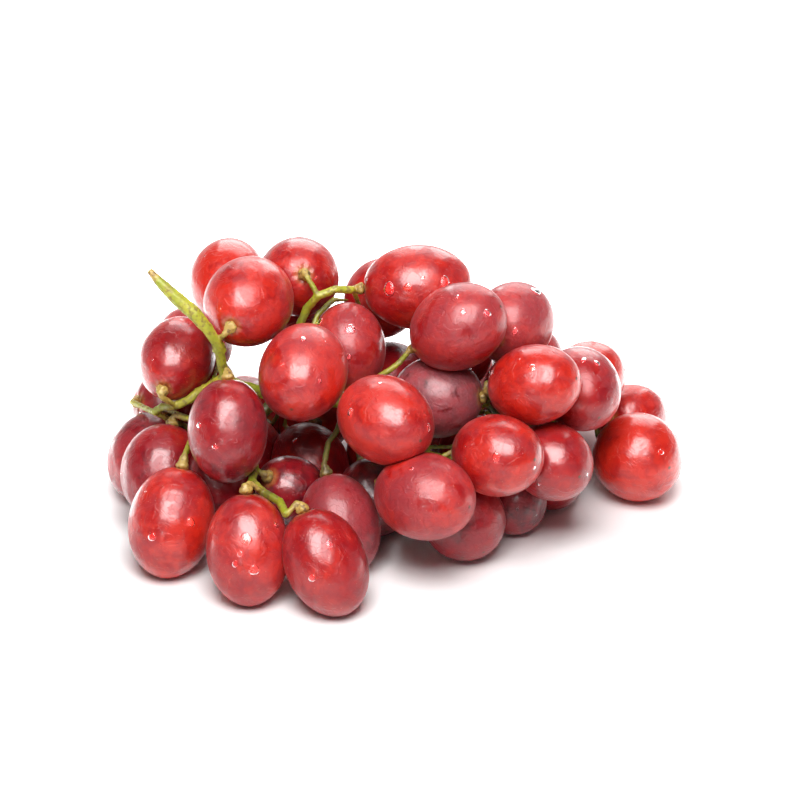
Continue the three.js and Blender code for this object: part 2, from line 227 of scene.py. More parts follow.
# Skin gloss and relief. Roughness and coat go from wet to dry.
SKIN_ROUGHNESS = (0.32, 0.47)
GRAIN_RANGE = (0.3, 0.7)
GRAIN_ROUGHNESS = 0.03
SKIN_COAT = (1.0, 0.45)
INSIDE_COAT = 0.05
SKIN_IOR = 1.45
COAT_ROUGHNESS = 0.21
FILM_EDGE = (0.46, 0.54)
FILM_HEIGHT = 0.42
MOTTLE_HEIGHT = 0.5
GRAIN_HEIGHT = 0.12
BLOOM_SINK = 0.05
SKIN_BUMP = 0.34
SKIN_BUMP_DISTANCE = 0.0006

# Fine stem, with lengths in millimetres
VOXEL = 0.34
SMOOTHINGS = 6
SMOOTH_IN = 0.55
SMOOTH_OUT = -0.57
STEM_SWELL = 0.12
STEM_ROUGH = 0.11
ROUGH_SCALE = 0.9
FINE_ROUGH_SCALE = 2.1
FINE_ROUGH_SHARE = 0.5
WART_HEIGHT = 0.3
WART_SCALE = 1.5
BUTTON_RADIUS = 1.65
BUTTON_THICKNESS = 0.85
BUTTON_LIFT = 0.3
BUTTON_REACH = 5.0
BUTTON_DRYNESS = 1.25
# Painted shade on the stem: it darkens where more grapes than these lie within this reach
INNER_REACH = 24
INNER_GRAPES = (3.5, 7)
CUT_DIRECTION = (-5, 2, 5)
CUT_FACE_DEPTH = 0.5
CUT_TAPER = 5.0
CUT_TAPER_POWER = 1.5
CUT_TIP_SHARE = 0.75
CUT_DRYNESS = 1.3

# Painted shade on the stalks deep in the bunch, by pixel of the photograph, with the radius of the patch in
# pixels
PAINTED_SHADE_PATCHES = [
    (332, 446, 36),
    (272, 412, 18),
]
PAINTED_SHADE_EDGE = 4

# Stem looks: noise scale per metre and detail, then colours
STEM_LARGE = (140, 3.0)
STEM_FINE = (900, 4.0)
STEM_GREEN = (0.3, 0.34, 0.012, 1)
STEM_YELLOW = (0.5, 0.46, 0.03, 1)
STEM_OLIVE = (0.24, 0.17, 0.025, 1)
STEM_BEIGE = (0.5, 0.33, 0.08, 1)
STEM_BROWN = (0.13, 0.06, 0.02, 1)
# Painted shade: the colour that the stem is darkened to deep inside the bunch
STEM_PAINTED_SHADE = (0.06, 0.045, 0.012, 1)
YELLOW_RANGE = (0.35, 0.65)
OLIVE_RANGE = (0.46, 0.7)
BEIGE_RANGE = (0.25, 0.85)
BROWNING_RANGE = (0.3, 0.7)
BROWNING = (-0.15, 0.25)
SPECK_RANGE = (0.52, 0.62)
SPECK_DRYNESS = (0.4, 1.0)
SPECK_SHARE = 0.8
# How strongly the painted shade is mixed into the stem's colour
PAINTED_SHADE_SHARE = 0.85
STEM_ROUGH_RANGE = (0.3, 0.7)
STEM_ROUGHNESS = (0.42, 0.6)
STEM_BUMP = 0.35
STEM_BUMP_DISTANCE = 0.0004

# Water beads by pixel of the photograph, with their radius in pixels
BEADS = [
    (389, 289, 6),
    (408, 287, 4),
    (445, 282, 5),
    (423, 278, 2),
    (350, 329, 5),
    (319, 323, 5),
    (349, 357, 3),
    (463, 312, 3),
    (487, 313, 4),
    (303, 339, 3),
    (350, 412, 4),
    (380, 383, 2),
    (429, 428, 4),
    (389, 342, 3),
    (532, 368, 4),
    (584, 360, 3),
    (597, 363, 3),
    (536, 291, 5),
    (515, 331, 3),
    (661, 452, 3),
    (496, 457, 4),
    (470, 369, 3),
    (246, 539, 6),
    (240, 554, 3),
    (235, 564, 3),
    (254, 570, 5),
    (312, 578, 4),
    (152, 537, 4),
    (191, 522, 4),
    (215, 447, 3),
]
BEAD_RINGS = 7
BEAD_SIDES = 20
LEVEL_SLOPE = 1e-3

# Shape of a bead, as shares of its radius
BEAD_HEIGHT_SHARE = 0.34
BEAD_SINK_SHARE = 0.16
BEAD_LENGTHS = (1.0, 1.35)
BEAD_TWO_LOBES = 0.08
BEAD_THREE_LOBES = 0.05

# Beads at random all over, with radii in millimetres. None sits farther from a grape's middle than this
# share of its half length.
RANDOM_BEADS = 130
RANDOM_BEAD_RADII = (0.2, 0.85)
RANDOM_BEAD_LOWEST_FACING = -0.1
OUTMOST_BEAD_SHARE = 1.02

# Water: noise scale per metre and detail
RIPPLE = (500, 1.0)
WATER_ROUGHNESS = 0.08
WATER_IOR = 1.33
WATER_BUMP = 0.1
WATER_BUMP_DISTANCE = 0.0002


def unit(values):
    values = np.asarray(values, float)
    return values / np.linalg.norm(values)


def heading(turn, rise):
    turn, rise = math.radians(turn), math.radians(rise)
    return Vector((math.cos(turn) * math.cos(rise), math.sin(turn) * math.cos(rise), math.sin(rise)))


def aim(obj, target):
    obj.rotation_euler = (Vector(target) - obj.location).to_track_quat("-Z", "Y").to_euler()


# Shader nodes

def new_material(name):
    material = bpy.data.materials.new(name)
    material.use_nodes = True
    return material


def add(tree, kind, name=None, inputs=None, **settings):
    """A shader node, or the one of that name, with its sockets set or linked."""
    node = tree.nodes.get(name) if name else None
    if node is None:
        node = tree.nodes.new("ShaderNode" + kind)
    for key, value in settings.items():
        setattr(node, key, value)
    for key, value in (inputs or {}).items():
        if isinstance(value, bpy.types.NodeSocket):
            tree.links.new(value, node.inputs[key])
        else:
            node.inputs[key].default_value = value
    return node


def attribute(tree, name, output="Fac"):
    return add(tree, "Attribute", attribute_name=name).outputs[output]


def axes_of(tree, vector):
    return add(tree, "SeparateXYZ", None, {0: vector}).outputs


def noise_of(tree, place, scale, detail, distortion=0.0):
    node = add(tree, "TexNoise", None, {"Vector": place, "Scale": scale, "Detail": detail,
                                        "Distortion": distortion})
    return node.outputs["Fac"]


def step(tree, value, low, high, to_low=0.0, to_high=1.0):
    """A smooth step of a value from one range to another."""
    return add(tree, "MapRange", None, {"Value": value, "From Min": low, "From Max": high,
                                        "To Min": to_low, "To Max": to_high},
               interpolation_type="SMOOTHSTEP").outputs[0]


def math_of(tree, operation, one, other):
    return add(tree, "Math", None, {0: one, 1: other}, operation=operation).outputs[0]


def mix(tree, factor, one, other):
    return add(tree, "Mix", None, {0: factor, 6: one, 7: other}, data_type="RGBA").outputs[2]


def bump(tree, height, strength, distance):
    return add(tree, "Bump", None, {"Height": height, "Strength": strength, "Distance": distance}).outputs[0]


# Camera, light and floor

def add_camera():
    camera = bpy.data.objects.new("camera", bpy.data.cameras.new("camera"))
    camera.data.lens = SENSOR * FOCAL_PIXELS / IMAGE_SIDE
    camera.data.sensor_width = SENSOR
    camera.location = Vector(CAMERA_AIM) + CAMERA_DISTANCE * heading(CAMERA_HEADING, CAMERA_RISE)
    aim(camera, CAMERA_AIM)
    bpy.context.scene.collection.objects.link(camera)
    bpy.context.scene.camera = camera
    return camera


def add_light(name, size, place, target, power):
    light = bpy.data.lights.new(name, "AREA")
    light.shape = "SQUARE"
    light.size = size
    light.energy = power
    obj = bpy.data.objects.new(name, light)
    obj.location = place
    aim(obj, target)
    bpy.context.scene.collection.objects.link(obj)
    return obj


def add_lights():
    """A softbox for shading, one for highlights, a small low lamp and a backlight for the ground behind."""
    middle = Vector(CAMERA_AIM)
    softbox = add_light("softbox", SOFTBOX_SIZE,
                        middle + SOFTBOX_DISTANCE * heading(SOFTBOX_HEADING, SOFTBOX_RISE),
                        CAMERA_AIM, SOFTBOX_POWER)
    softbox.visible_glossy = False
    gleam = add_light("gleam", GLEAM_SIZE, middle + SOFTBOX_DISTANCE * heading(GLEAM_HEADING, GLEAM_RISE),
                      CAMERA_AIM, GLEAM_POWER)
    gleam.visible_diffuse = False
    add_light("lamp", LAMP_SIZE, middle + LAMP_DISTANCE * heading(LAMP_HEADING, LAMP_RISE),
              CAMERA_AIM, LAMP_POWER)
    add_light("backlight", BACKLIGHT_SIZE, BACKLIGHT_PLACE, BACKLIGHT_AIM, BACKLIGHT_POWER)


def set_world():
    world = bpy.data.worlds.new("studio")
    world.use_nodes = True
    tree = world.node_tree
    direction = axes_of(tree, add(tree, "TexCoord").outputs["Generated"])
    low_down = step(tree, direction[2], *WORLD_FADE, 1.0, 0.0)
    horizon = step(tree, direction[1], *WORLD_TURN, WORLD_IN_FRONT, WORLD_BEHIND)
    brightness = math_of(tree, "ADD", math_of(tree, "MULTIPLY", low_down, horizon), WORLD_ABOVE)
    add(tree, "Background", "Background", {"Color": (1, 1, 1, 1), "Strength": brightness})
    bpy.context.scene.world = world
    bpy.context.scene.view_settings.view_transform = "Standard"


def add_floor():
    bpy.ops.mesh.primitive_plane_add(size=FLOOR_SIDE)
    floor = bpy.context.object
    floor.name = "floor"
    material = new_material("floor")
    tree = material.node_tree
    place = add(tree, "TexCoord").outputs["Object"]
    away = axes_of(tree, place)[1]
    distance = add(tree, "VectorMath", None, {0: place}, operation="LENGTH").outputs["Value"]
    glow = step(tree, distance, *FLOOR_GLOW_ROUND, 0.0, FLOOR_GLOW)
    for limits, ends in ((FLOOR_GLOW_FROM, (0.0, 1.0)), (FLOOR_GLOW_TO, (1.0, 0.0))):
        glow = math_of(tree, "MULTIPLY", glow, step(tree, away, *limits, *ends))
    add(tree, "BsdfPrincipled", "Principled BSDF", {
        "Base Color": FLOOR_COLOUR,
        "Roughness": FLOOR_ROUGHNESS,
        "Specular IOR Level": FLOOR_SPECULAR,
        "Emission Color": (1, 1, 1, 1),
        "Emission Strength": glow,
    })
    floor.data.materials.append(material)


# Materials

def red_of_skin(tree, local, mottle):
    """How deep the red is: by grape, by large patches and by fine mottling."""
    patches = noise_of(tree, local, *PATCHES)
    deep = math_of(tree, "ADD", attribute(tree, "depth"),
                   step(tree, patches, *PATCH_RANGE, -PATCH_SWING, PATCH_SWING))
    deep = math_of(tree, "ADD", deep, step(tree, mottle, *MOTTLE_RANGE, -MOTTLE_SWING, MOTTLE_SWING))
    colour = PALEST_RED
    for low, high, red in DEEPER_REDS:
        colour = mix(tree, step(tree, deep, low, high), colour, red)
    return colour


def dry_patches(tree, local, bloom):
    """Where water hasn't wetted the skin and its bloom shows, in sharp-edged patches."""
    edge = noise_of(tree, local, *BLOOM_EDGE)
    share = math_of(tree, "MULTIPLY", math_of(tree, "MINIMUM", bloom, 1.0), BLOOM_SPREAD)
    level = math_of(tree, "SUBTRACT", BLOOM_LEVEL, share)
    return step(tree, math_of(tree, "SUBTRACT", edge, level), *BLOOM_SOFT_EDGE)


def bloomed(tree, colour, dry, grain, bloom):
    haze = math_of(tree, "MULTIPLY", dry, step(tree, grain, *BLOOM_GRAIN_RANGE, *BLOOM_GRAIN_SHARE))
    cover = math_of(tree, "MULTIPLY", haze, step(tree, bloom, *BLOOM_RANGE, *BLOOM_COVER))
    return mix(tree, cover, colour, BLOOM_COLOUR)


def marked(tree, colour, local):
    """Small pale spots, a brown ring round the stalk and the scar at the other end."""
    spots = add(tree, "TexVoronoi", None, {"Vector": local, "Scale": SPOT_SCALE}).outputs["Distance"]
    near = step(tree, spots, *SPOT_RADII, 1.0, 0.0)
    colour = mix(tree, math_of(tree, "MULTIPLY", near, SPOT_SHARE), colour, SPOT_COLOUR)
    from_stalk, from_scar, _ = axes_of(tree, attribute(tree, "ends", "Vector"))
    colour = mix(tree, step(tree, from_stalk, *RING_RADII, RING_SHARE, 0.0), colour, RING_COLOUR)
    return mix(tree, step(tree, from_scar, *SCAR_RADII, SCAR_SHARE, 0.0), colour, SCAR_COLOUR)


def skin_relief(tree, local, mottle, grain, dry):
    """Mottled and grainy, a little lower where dry and higher under a film of water."""
    height = math_of(tree, "ADD", math_of(tree, "MULTIPLY", mottle, MOTTLE_HEIGHT),
                     math_of(tree, "MULTIPLY", grain, GRAIN_HEIGHT))
    height = math_of(tree, "SUBTRACT", height, math_of(tree, "MULTIPLY", dry, BLOOM_SINK))
    film = step(tree, noise_of(tree, local, *FILM), *FILM_EDGE)
    height = math_of(tree, "ADD", height, math_of(tree, "MULTIPLY", film, FILM_HEIGHT))
    return bump(tree, height, SKIN_BUMP, SKIN_BUMP_DISTANCE)


def skin_material():
    """Wet and bloomed grape skin. Its local coordinates are millimetres along each grape's own axes."""
    material = new_material("grape_skin")
    tree = material.node_tree
    local = attribute(tree, "local", "Vector")
    bloom = attribute(tree, "bloom")
    mottle = noise_of(tree, local, *MOTTLE)
    grain = noise_of(tree, local, *GRAIN)
    dry = dry_patches(tree, local, bloom)
    colour = bloomed(tree, red_of_skin(tree, local, mottle), dry, grain, bloom)
    roughness = math_of(tree, "ADD", step(tree, dry, 0.0, 1.0, *SKIN_ROUGHNESS),
                        step(tree, grain, *GRAIN_RANGE, -GRAIN_ROUGHNESS, GRAIN_ROUGHNESS))
    wet = step(tree, bloom, -1.0, 0.0, INSIDE_COAT, 1.0)
    coat = math_of(tree, "MULTIPLY", wet, step(tree, dry, 0.0, 1.0, *SKIN_COAT))
    add(tree, "BsdfPrincipled", "Principled BSDF", {
        "Base Color": marked(tree, colour, local),
        "Roughness": roughness,
        "IOR": SKIN_IOR,
        "Specular IOR Level": 0.35,
        "Subsurface Weight": 0.3,
        "Subsurface Radius": (1.0, 0.18, 0.12),
        "Subsurface Scale": 0.0026,
        "Coat Weight": coat,
        "Coat Roughness": COAT_ROUGHNESS,
        "Coat IOR": SKIN_IOR,
        "Sheen Weight": 0.05,
        "Sheen Roughness": 0.28,
        "Sheen Tint": (1, 0.86, 0.86, 1),
        "Normal": skin_relief(tree, local, mottle, grain, dry),
    })
    return material


def stem_material():
    """Woody green stem, beige and brown at its buttons and cut end, and darkened with painted shade deep
    inside the bunch.
    """
    material = new_material("stem_skin")
    tree = material.node_tree
    place = add(tree, "TexCoord").outputs["Object"]
    large = noise_of(tree, place, *STEM_LARGE)
    fine = noise_of(tree, place, *STEM_FINE)
    colour = mix(tree, step(tree, large, *YELLOW_RANGE), STEM_GREEN, STEM_YELLOW)
    colour = mix(tree, step(tree, fine, *OLIVE_RANGE), colour, STEM_OLIVE)
    browned = math_of(tree, "ADD", attribute(tree, "dry"),
                      step(tree, large, *BROWNING_RANGE, *BROWNING))
    colour = mix(tree, step(tree, browned, *BEIGE_RANGE), colour, STEM_BEIGE)
    specks = math_of(tree, "MULTIPLY", step(tree, fine, *SPECK_RANGE), step(tree, browned, *SPECK_DRYNESS))
    colour = mix(tree, math_of(tree, "MULTIPLY", specks, SPECK_SHARE), colour, STEM_BROWN)
    # Painted shade: the stem's colour is darkened deep inside the bunch and in dark gaps
    shade = math_of(tree, "MULTIPLY", attribute(tree, "inner"), PAINTED_SHADE_SHARE)
    add(tree, "BsdfPrincipled", "Principled BSDF", {
        "Base Color": mix(tree, shade, colour, STEM_PAINTED_SHADE),
        "Roughness": step(tree, fine, *STEM_ROUGH_RANGE, *STEM_ROUGHNESS),
        "Subsurface Weight": 0.12,
        "Subsurface Radius": (0.6, 0.7, 0.2),
        "Subsurface Scale": 0.0015,
        "Normal": bump(tree, fine, STEM_BUMP, STEM_BUMP_DISTANCE),
    })
    return material


def water_material():
    material = new_material("water")
    tree = material.node_tree
    ripple = noise_of(tree, add(tree, "TexCoord").outputs["Object"], *RIPPLE)
    add(tree, "BsdfPrincipled", "Principled BSDF", {
        "Base Color": (1, 1, 1, 1),
        "Roughness": WATER_ROUGHNESS,
        "IOR": WATER_IOR,
        "Transmission Weight": 1.0,
        "Normal": bump(tree, ripple, WATER_BUMP, WATER_BUMP_DISTANCE),
    })
    return material


# Meshes

def welded(obj):
    """A CAD node's points in metres and its triangles, with split corners joined."""
    mesh = obj.data
    mesh.calc_loop_triangles()
    points = np.empty(len(mesh.vertices) * 3)
    mesh.vertices.foreach_get("co", points)
    triangles = np.empty(len(mesh.loop_triangles) * 3, int)
    mesh.loop_triangles.foreach_get("vertices", triangles)
    points = points.reshape(-1, 3)
    _, first, place = np.unique(np.round(points / WELD), axis=0, return_index=True, return_inverse=True)
    return points[first], place.reshape(-1)[triangles].reshape(-1, 3)


def make_object(name, points, faces, material, attributes=()):
    mesh = bpy.data.meshes.new(name)
    mesh.from_pydata(np.asarray(points).tolist(), [], faces)
    mesh.polygons.foreach_set("use_smooth", np.ones(len(mesh.polygons), bool))
    for key, kind, values in attributes:
        layer = mesh.attributes.new(key, kind, "POINT")
        field = "vector" if kind == "FLOAT_VECTOR" else "value"
        layer.data.foreach_set(field, np.asarray(values, np.float32).ravel())
    mesh.materials.append(material)
    obj = bpy.data.objects.new(name, mesh)
    bpy.context.scene.collection.objects.link(obj)
    return obj


def hand_in(obj, node):
    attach(obj, "root")
    if node:
        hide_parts(node)


# The grapes of the CAD model

def split_at_creases(points, triangles):
    """Groups a fused solid's faces into its grapes, and gives the corners on their seams."""
    corner = points[triangles]
    normal = np.cross(corner[:, 1] - corner[:, 0], corner[:, 2] - corner[:, 0])
    normal /= np.linalg.norm(normal, axis=1)[:, None]
    on_floor = (normal[:, 2] < FLAT_FACE) & (corner[:, :, 2].max(axis=1) < WELD)
    leader = list(range(len(triangles)))

    def lead(face):
        while leader[face] != face:
            leader[face] = leader[leader[face]]
            face = leader[face]
        return face

    waiting, seam = {}, set()
    for face, ring in enumerate(triangles):
        for start, end in zip(ring, np.roll(ring, -1)):
            other = waiting.pop((end, start), None)
            if other is None:
                waiting[(start, end)] = face
                continue
            far = next(k for k in triangles[other] if k not in (start, end))
            offset = points[far] - points[start]
            along = unit(points[end] - points[start])
            across = np.linalg.norm(np.cross(offset, along))
            if on_floor[face] or on_floor[other] or offset @ normal[face] > CONCAVE * across:
                seam.update((start, end))
            else:
                leader[lead(face)] = lead(other)
    groups = {}
    for face in np.flatnonzero(~on_floor):
        groups.setdefault(lead(face), []).append(face)
    return [triangles[faces] for faces in groups.values()], seam


def fit_spheroid(points):
    """The middle, axis, radius and half length of the spheroid that points lie on."""
    start = points.mean(axis=0)
    x, y, z = ((points - start) / FIT_UNIT).T
    terms = np.stack([x * x, y * y, z * z, 2 * x * y, 2 * x * z, 2 * y * z, 2 * x, 2 * y, 2 * z], axis=1)
    s = np.linalg.lstsq(terms, np.ones(len(x)), rcond=None)[0]
    shape = np.array([[s[0], s[3], s[4]], [s[3], s[1], s[5]], [s[4], s[5], s[2]]])
    middle = -np.linalg.solve(shape, s[6:9])
    shape /= 1 + middle @ shape @ middle
    values, axes = np.linalg.eigh(shape)
    sizes = FIT_UNIT / np.sqrt(values)
    return start + middle * FIT_UNIT, axes[:, 0], (sizes[1] + sizes[2]) / 2, sizes[0]


def find_grapes(nodes, stem_points):
    """Every grape of the CAD model, in a fixed order, its axis pointing away from the stalk."""
    grapes = []
    for node in sorted(name for name in nodes if name.startswith("grapes_")):
        points, triangles = welded(nodes[node])
        bodies, seam = split_at_creases(points, triangles)
        for body in bodies:
            own = sorted(set(body.ravel()) - seam)
            if len(own) < LEAST_CORNERS:
                continue
            middle, axis, radius, half = fit_spheroid(points[own])
            ends = [np.linalg.norm(stem_points - (middle + side * half * axis), axis=1).min()
                    for side in (-1, 1)]
            if ends[0] > ends[1]:
                axis = -axis
            grapes.append({"node": node, "middle": middle, "axis": axis, "radius": radius, "half": half})
    grapes.sort(key=lambda grape: tuple(np.round(grape["middle"] / MM, 1)))
    return grapes


def pixel_of(camera, point):
    view = camera.matrix_world.inverted() @ Vector(point)
    return np.array([view.x, -view.y]) * FOCAL_PIXELS / -view.z + IMAGE_SIDE / 2


def grape_at(grapes, pixel):
    """The grape whose middle is nearest to a pixel, with those near the camera first."""
    def misfit(grape):
        farther = (grape["away"] - CAMERA_DISTANCE) / MM
        return np.linalg.norm(grape["pixel"] - pixel) + farther / DEPTH_PER_PIXEL
    return min(grapes, key=misfit)


def dress_grapes(grapes, camera):
    """Gives each grape its depth of red and its bloom, at random or from the photograph's grapes."""
    rng = np.random.default_rng(SEED)
    for grape in grapes:
        grape["depth"] = rng.uniform(*HIDDEN_DEPTHS)
        grape["bloom"] = rng.uniform(*HIDDEN_BLOOMS)
        grape["offset"] = rng.uniform(-PATTERN_OFFSET, PATTERN_OFFSET, 3)
        grape["spin"] = rng.uniform(0, 2 * math.pi)
        grape["phases"] = rng.uniform(0, 2 * math.pi, 4)
        grape["pixel"] = pixel_of(camera, grape["middle"])
        grape["away"] = (Vector(grape["middle"]) - camera.location).length
    free = list(grapes)
    for x, y, depth, bloom in SKINS:
        best = grape_at(free, (x, y))
        best["depth"], best["bloom"] = depth, bloom
        free = [grape for grape in free if grape is not best]


# Fine grapes

def softplus(values, softness):
    """About 0 below 0 and the value itself above, with a soft bend between."""
    return (values + np.sqrt(values**2 + softness**2)) / 2


def depth_in(points, grape):
    """How far points are inside a grape, roughly, in metres; negative outside."""
    offset = points - grape["middle"]
    along = offset @ grape["axis"]
    across = np.sqrt(np.maximum((offset**2).sum(axis=1) - along**2, 0))
    level = np.sqrt((along / grape["half"])**2 + (across / grape["radius"])**2)
    return np.linalg.norm(offset, axis=1) * (1 / np.maximum(level, LEAST_LEVEL) - 1)


def pressed(points, grape, grapes):
    """A grape's points, drawn in where a neighbour or the floor presses it flat."""
    for other in grapes:
        if other is grape:
            continue
        apart = np.linalg.norm(other["middle"] - grape["middle"])
        if apart < grape["half"] + other["half"]:
            push = softplus(depth_in(points, other), CONTACT_SOFTNESS * MM) / 2
            inward = grape["middle"] - points
            points = points + inward / np.linalg.norm(inward, axis=1)[:, None] * push[:, None]
    points[:, 2] += softplus(-points[:, 2], FLOOR_SOFTNESS * MM)
    return points


def fine_grape(grape, grapes):
    """A grape's points, their places along its own axes, and how far they are from its stalk and scar."""
    rise = np.linspace(0, math.pi, ROWS + 1)[1:-1]
    turn = np.arange(COLUMNS) * 2 * math.pi / COLUMNS
    rise_all = np.concatenate([[0.0], np.repeat(rise, COLUMNS), [math.pi]])
    turn_all = np.concatenate([[0.0], np.tile(turn, len(rise)), [0.0]]) + grape["spin"]
    across = unit(np.cross(grape["axis"], SPIN_FROM))
    third = np.cross(grape["axis"], across)
    outward = np.cos(turn_all)[:, None] * across + np.sin(turn_all)[:, None] * third
    radius = grape["radius"] * np.sin(rise_all)
    along = -grape["half"] * np.cos(rise_all)

    # Lumpy all over, dimpled and puckered at the stalk, and with a scar at the other end
    phases = grape["phases"]
    lumps = (np.sin(2 * turn_all + phases[0]) * np.sin(rise_all)**2
             + np.sin(3 * turn_all + phases[1]) * np.sin(rise_all)**3 * THREE_LOBES_SHARE
             + np.sin(2 * rise_all + phases[2]) * WAIST_SHARE - LUMP_SINK)
    swell = 1 + lumps * LUMP_HEIGHT * MM / grape["radius"]
    from_stalk = np.where(rise_all < math.pi / 2, radius, np.inf) / MM
    from_scar = np.where(rise_all > math.pi / 2, radius, np.inf) / MM
    pucker = np.cos(PUCKERS * turn_all) * np.exp(-((from_stalk - PUCKER_RING) / PUCKER_WIDTH)**2)
    dip = DIMPLE_DEPTH * np.exp(-(from_stalk / DIMPLE_WIDTH)**2) + PUCKER_HEIGHT * pucker
    along = along * swell + dip * MM + SCAR_HEIGHT * MM * np.exp(-(from_scar / SCAR_WIDTH)**2)

    points = grape["middle"] + outward * (radius * swell)[:, None] + along[:, None] * grape["axis"]
    local = np.stack([radius * np.cos(turn_all), radius * np.sin(turn_all), along], axis=1) / MM
    ends = np.stack([np.minimum(from_stalk, FAR_FROM_ENDS), np.minimum(from_scar, FAR_FROM_ENDS),
                     np.zeros(GRAPE_POINTS)], axis=1)
    return pressed(points, grape, grapes), local + grape["offset"], ends


def grape_faces(start):
    faces = []
    last = start + GRAPE_POINTS - 1
    for k in range(COLUMNS):
        after = (k + 1) % COLUMNS
        faces.append((start, start + 1 + after, start + 1 + k))
        faces.append((last, last - COLUMNS + k, last - COLUMNS + after))
        for row in range(ROWS - 2):
            low = start + 1 + row * COLUMNS
            faces.append((low + k, low + after, low + COLUMNS + after, low + COLUMNS + k))
    return faces


def add_grapes(grapes, material):
    """One piece for each group of grapes. Gives a tree of their faces to set beads on."""
    all_points, all_faces = [], []
    for node in sorted({grape["node"] for grape in grapes}):
        group = [grape for grape in grapes if grape["node"] == node]
        shapes = [fine_grape(grape, grapes) for grape in group]
        points, local, ends = (np.concatenate(parts) for parts in zip(*shapes))
        faces = [face for k in range(len(group)) for face in grape_faces(k * GRAPE_POINTS)]
        piece = make_object("fine_" + node, points, faces, material, [
            ("local", "FLOAT_VECTOR", local),
            ("ends", "FLOAT_VECTOR", ends),
            ("depth", "FLOAT", np.repeat([grape["depth"] for grape in group], GRAPE_POINTS)),
            ("bloom", "FLOAT", np.repeat([grape["bloom"] for grape in group], GRAPE_POINTS)),
        ])
        hand_in(piece, node)
        start = sum(len(part) for part in all_points)
        all_points.append(points)
        all_faces.extend(tuple(k + start for k in face) for face in faces)
    return BVHTree.FromPolygons(np.concatenate(all_points).tolist(), all_faces)


# The stem

def stalk_end(grape):
    """Where a grape sits on its stalk, in millimetres."""
    return (grape["middle"] - grape["axis"] * grape["half"]) / MM


def button(grape):
    """The knob that a grape sits on, as points and triangles in millimetres."""
    shape = bmesh.new()
    bmesh.ops.create_icosphere(shape, subdivisions=2, radius=1)
    turn = Vector((0, 0, 1)).rotation_difference(Vector(grape["axis"])).to_matrix().to_4x4()
    size = Matrix.Diagonal((BUTTON_RADIUS, BUTTON_RADIUS, BUTTON_THICKNESS, 1))
    place = Matrix.Translation(stalk_end(grape) - grape["axis"] * BUTTON_LIFT)
    shape.transform(place @ turn @ size)
    points = np.array([vertex.co for vertex in shape.verts])
    triangles = np.array([[vertex.index for vertex in face.verts] for face in shape.faces])
    shape.free()
    return points, triangles


def remeshed(points, triangles):
    """The same solid as even small faces, in millimetres, with overlapping bodies joined."""
    mesh = bpy.data.meshes.new("coarse")
    mesh.from_pydata(points.tolist(), [], triangles.tolist())
    obj = bpy.data.objects.new("coarse", mesh)
    bpy.context.scene.collection.objects.link(obj)
    modifier = obj.modifiers.new("even", "REMESH")
    modifier.mode = "VOXEL"
    modifier.voxel_size = VOXEL
    fine = obj.evaluated_get(bpy.context.evaluated_depsgraph_get()).to_mesh()
    found = np.empty(len(fine.vertices) * 3)
    fine.vertices.foreach_get("co", found)
    faces = [tuple(polygon.vertices) for polygon in fine.polygons]
    edges = np.empty(len(fine.edges) * 2, int)
    fine.edges.foreach_get("vertices", edges)
    bpy.data.objects.remove(obj)
    bpy.data.meshes.remove(mesh)
    return found.reshape(-1, 3), faces, edges.reshape(-1, 2)


def smoothed(points, edges):
    """Rounds off corners without shrinking."""
    count = np.bincount(edges.ravel(), minlength=len(points))[:, None]
    for _ in range(SMOOTHINGS):
        for pull in (SMOOTH_IN, SMOOTH_OUT):
            total = np.zeros_like(points)
            np.add.at(total, edges[:, 0], points[edges[:, 1]])
            np.add.at(total, edges[:, 1], points[edges[:, 0]])
            points = points + pull * (total / count - points)
    return points


def normals_of(points, faces):
    """Each point's normal, from the faces round it. The first corner of a triangle counts twice."""
    corners = np.array([(face * 2)[:4] for face in faces]).T
    one, two, three = points[corners[0]], points[corners[1]], points[corners[2]]
    normal = np.cross(two - one, three - one)
    total = np.zeros_like(points)
    for corner in corners:
        np.add.at(total, corner, normal)
    return total / np.maximum(np.linalg.norm(total, axis=1), LEAST_LENGTH)[:, None]


def stem_body(points, triangles, grapes):
    """The CAD model's stem with a button for each grape, as one even, rounded body in millimetres."""
    bodies = [(points, triangles)] + [button(grape) for grape in grapes]
    starts = np.cumsum([0] + [len(body[0]) for body in bodies[:-1]])
    joined = np.concatenate([body[1] + start for body, start in zip(bodies, starts)])
    points, faces, edges = remeshed(np.concatenate([body[0] for body in bodies]), joined)
    return smoothed(points, edges), faces


def near_buttons(points, grapes):
    """From 0 to 1, how near points are to a grape's button."""
    near = np.zeros(len(points))
    for grape in grapes:
        away = np.linalg.norm(points - stalk_end(grape), axis=1) / BUTTON_REACH
        near = np.maximum(near, np.clip(BUTTON_DRYNESS - away, 0, 1))
    return near


def cut_end(points):
    """The middle of the stem's cut face, in millimetres."""
    reach = points @ unit(CUT_DIRECTION)
    return points[reach > reach.max() - CUT_FACE_DEPTH].mean(axis=0)


def towards_cut(points, tip):
    """From 0 to 1, how near points are to the cut end, and where they would be on its axis."""
    behind = (tip - points) @ unit(CUT_DIRECTION)
    at_end = np.linalg.norm(points - tip, axis=1) < 2 * CUT_TAPER
    taper = np.where(at_end, np.clip(1 - behind / CUT_TAPER, 0, 1), 0)
    return taper, tip - behind[:, None] * unit(CUT_DIRECTION)


def bark_height(points, warts):
    """How far the bark stands off the smooth stem, in millimetres: uneven, with warts near buttons."""
    rough = np.array([noise.noise(Vector(point) * ROUGH_SCALE)
                      + FINE_ROUGH_SHARE * noise.noise(Vector(point) * FINE_ROUGH_SCALE)
                      for point in points])
    knobs = np.array([noise.noise(Vector(point) * WART_SCALE) for point in points])
    return STEM_SWELL + STEM_ROUGH * rough + WART_HEIGHT * warts * knobs


